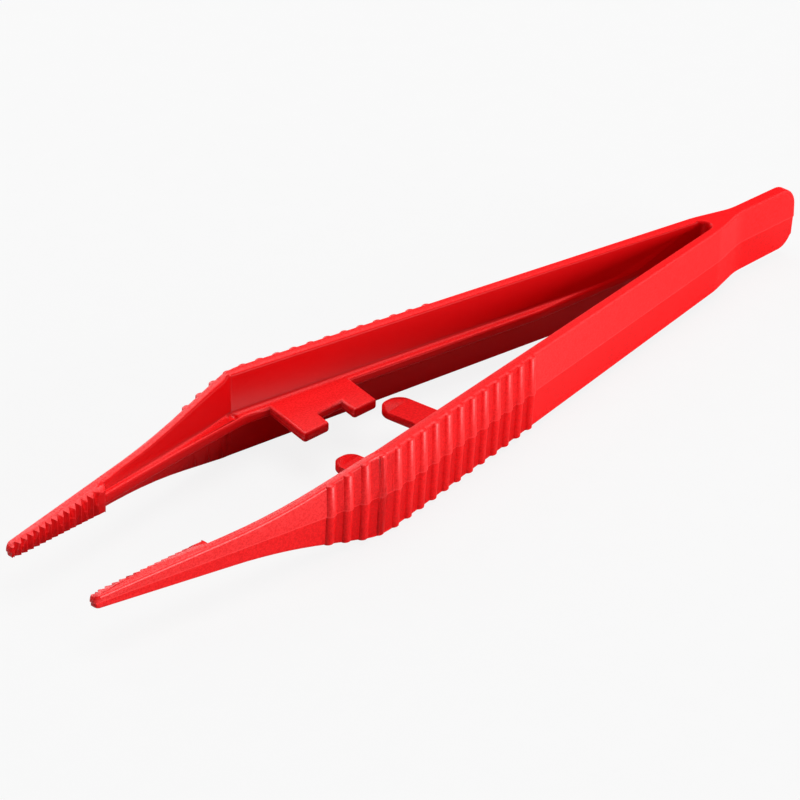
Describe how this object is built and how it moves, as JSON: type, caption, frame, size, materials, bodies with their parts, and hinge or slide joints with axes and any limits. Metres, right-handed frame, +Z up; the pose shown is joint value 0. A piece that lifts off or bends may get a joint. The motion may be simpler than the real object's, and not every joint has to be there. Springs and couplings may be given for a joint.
{
  "type": "plastic precision tweezers",
  "caption": "One-piece moulded plastic tweezers with ribbed T-section arms, toothed tips, a notched guide and tongues between the arms.",
  "frame": {"origin": "middle of the length and width, at the plane the tweezers lie on", "axes": "+X from the tips to the joined head, +Y towards the arm that carries the notched guide, +Z up through the arms' height"},
  "size_m": [0.13, 0.0274, 0.0114],
  "materials": {
    "red_plastic": "bright red moulded plastic with a fine grained skin and smoother inner faces"
  },
  "bodies": {
    "root": {"tweezers": "red_plastic"}
  },
  "joints": []
}
